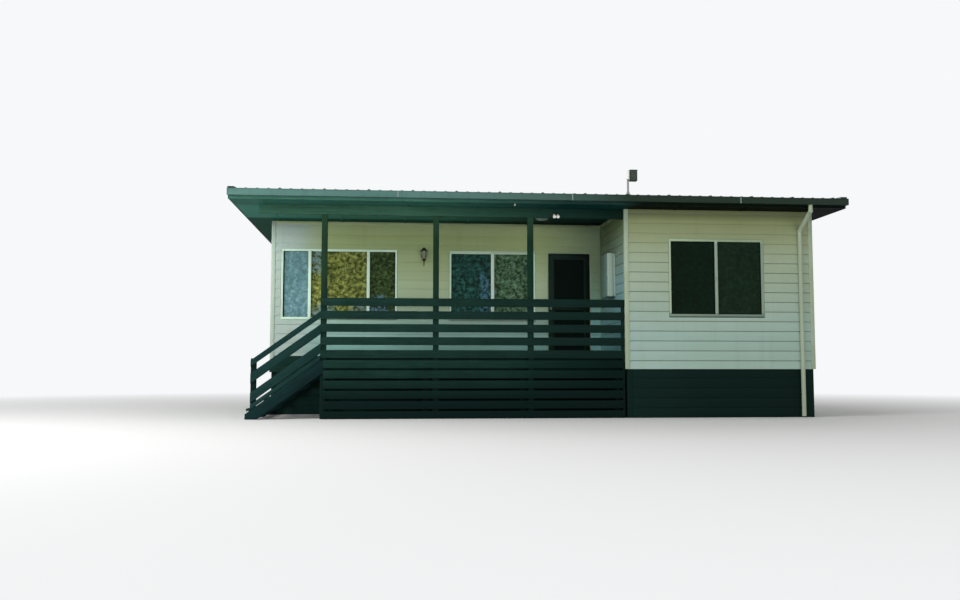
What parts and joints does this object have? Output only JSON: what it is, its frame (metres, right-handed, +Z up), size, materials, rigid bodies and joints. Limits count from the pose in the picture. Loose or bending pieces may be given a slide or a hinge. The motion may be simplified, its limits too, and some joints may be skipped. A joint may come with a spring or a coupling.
{
  "type": "beach house",
  "caption": "Single-storey weatherboard beach house on a raised floor, with a low metal roof, a recessed timber veranda with board rails, a side stair and a hinged door.",
  "frame": {"origin": "on the ground, at the middle of the roof and gutters in plan", "axes": "+X along the front, from the stair to the wing; +Y from the veranda to the rear wall; +Z up"},
  "size_m": [10.77, 8.53, 4.3597],
  "materials": {
    "cladding_paint": "painted weatherboard, low sheen",
    "trim_paint": "painted corner boards and door jambs, low sheen",
    "dark_timber": "very dark green stain on sawn timber",
    "dark_board": "very dark green paint on flat lining and base boards",
    "floor_timber": "clear sealed floorboards",
    "ceiling_paint": "matt white paint",
    "roof_metal": "weathered grey roof sheet",
    "gutter_metal": "satin grey-green paint",
    "pipe_metal": "satin cream paint",
    "window_metal": "powder coated, satin",
    "window_glass": "clear float glass",
    "door_metal": "dark powder coat, satin",
    "door_mesh": "black woven screen, matt",
    "sill_metal": "brushed plate",
    "handle_metal": "brushed",
    "meter_paint": "baked enamel, satin",
    "lantern_metal": "dark bronze, satin",
    "lamp_white": "white diffuser",
    "mast_metal": "galvanised pipe and dark box"
  },
  "bodies": {
    "house": {"house_floor": "floor_timber", "base_boards": "dark_board", "recess_base": "dark_board", "corner_stumps": "dark_timber", "recess_wall": "cladding_paint", "wall_over_door": "cladding_paint", "wall_beside_door": "cladding_paint", "wing_side_wall": "cladding_paint", "wing_front_wall": "cladding_paint", "left_end_wall": "cladding_paint", "right_end_wall": "cladding_paint", "rear_wall": "cladding_paint", "corner_boards": "trim_paint", "room_ceiling": "ceiling_paint", "eaves_lining": "dark_board", "fascia_boards": "dark_timber", "barge_boards": "dark_timber", "roof_front": "roof_metal", "roof_rear": "roof_metal", "ridge_capping": "roof_metal", "gutters": "gutter_metal", "downpipes": "pipe_metal", "veranda_beam": "dark_timber", "veranda_posts": "dark_timber", "deck_boards": "dark_timber", "deck_joists": "dark_timber", "deck_bearers": "dark_timber", "deck_stumps": "dark_timber", "balustrade_rails": "dark_timber", "skirt_boards": "dark_timber", "stair_stringers": "dark_timber", "stair_treads": "dark_timber", "stair_rails": "dark_timber", "stair_newel": "dark_timber", "wide_window": "window_metal", "veranda_window": "window_metal", "wing_window": "window_metal", "side_rear_windows": "window_metal", "window_glass": "window_glass", "door_frame": "trim_paint", "door_sill": "sill_metal", "door_hinges": "door_metal", "meter_box": "meter_paint", "coach_lantern": "lantern_metal", "ceiling_light": "lamp_white", "flood_light": "lamp_white", "service_mast": "mast_metal"},
    "door_leaf": {"front_door": "door_metal", "door_screen": "door_mesh", "door_handle": "handle_metal"}
  },
  "joints": [
    {"name": "front_door_hinge", "type": "hinge", "parent": "house", "child": "door_leaf", "pos_m": [1.25, -1.806, 2.112], "axis": [0, 0, 1], "range_deg": [0, 90]}
  ]
}
